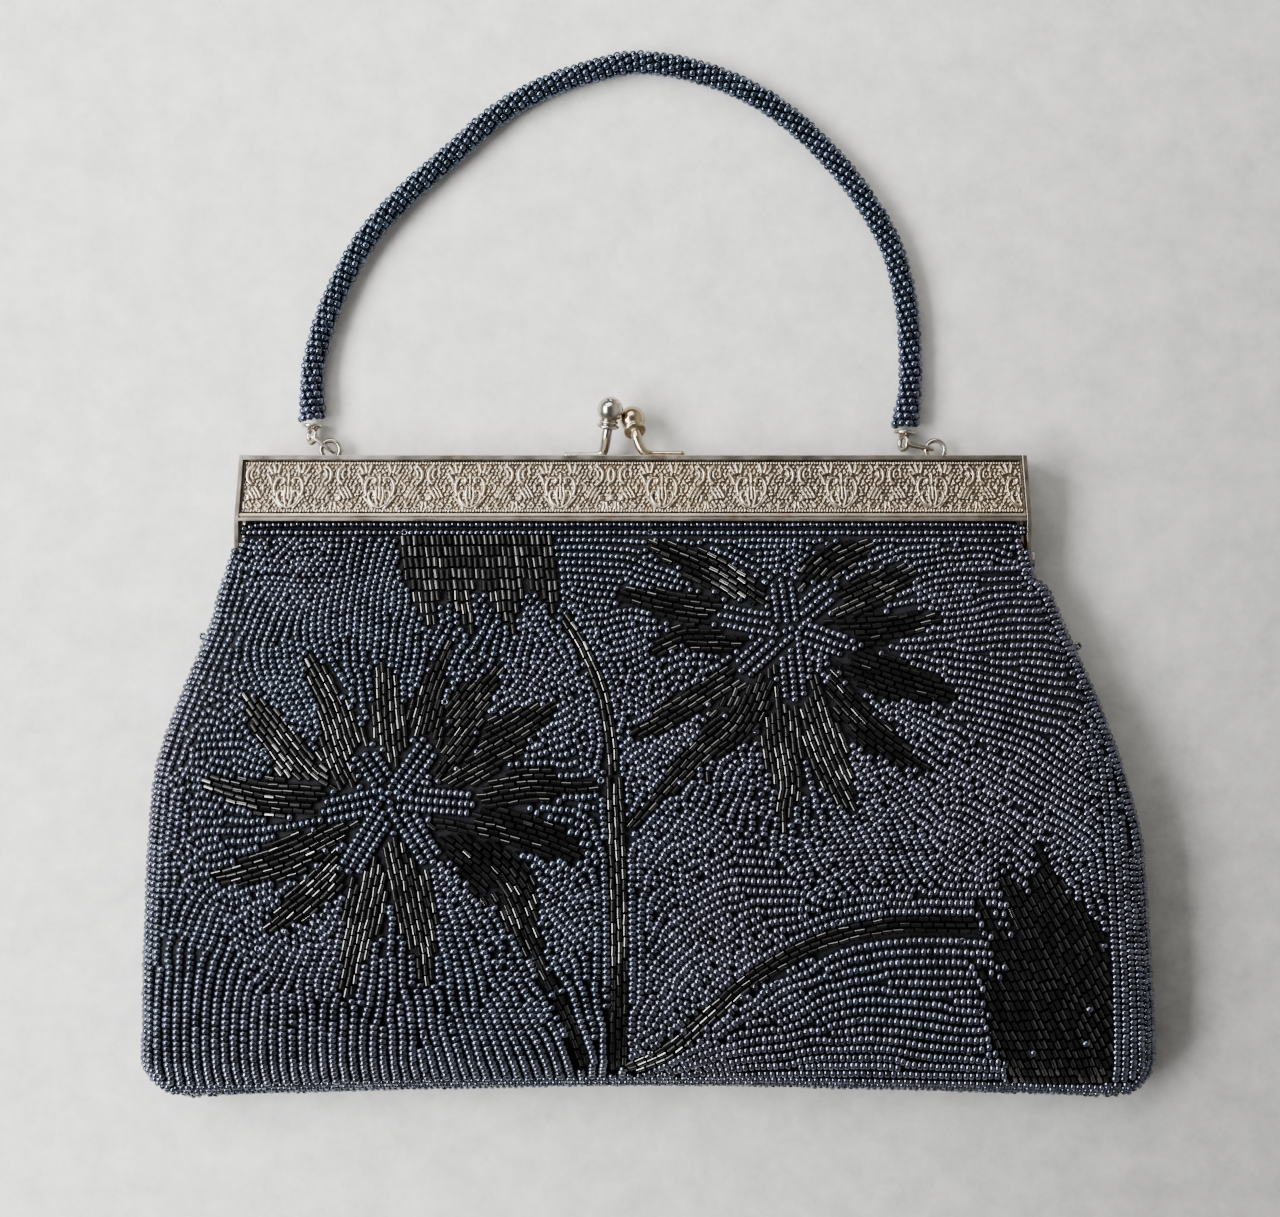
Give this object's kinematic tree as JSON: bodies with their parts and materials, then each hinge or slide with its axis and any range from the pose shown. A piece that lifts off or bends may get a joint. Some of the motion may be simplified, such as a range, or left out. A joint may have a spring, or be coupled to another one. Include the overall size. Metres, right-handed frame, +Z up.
{
  "type": "beaded evening bag",
  "caption": "Soft evening bag covered in dark seed beads with a flower pattern in black bugle beads, a hinged metal frame with a kiss-lock and a beaded rope handle.",
  "frame": {"origin": "centre of the bag's bounding box, on the surface that it lies on", "axes": "+Z up out of the bag's front as it lies on its back, +Y from the pouch towards the handle, +X along the frame to the right"},
  "size_m": [0.2554, 0.2658, 0.028],
  "materials": {
    "seed_beads": "lustrous",
    "bugle_beads": "polished",
    "bag_cloth": "matte",
    "frame_metal": "aged"
  },
  "bodies": {
    "root": {"pouch": "seed_beads", "frame_front": "frame_metal", "frame_back": "frame_metal", "band_front": "frame_metal", "handle_rope": "seed_beads", "hinge_rivet_left": "frame_metal", "hinge_rivet_right": "frame_metal", "link_left": "frame_metal", "link_right": "frame_metal", "handle_cap_left": "frame_metal", "handle_cap_right": "frame_metal"}
  },
  "joints": []
}
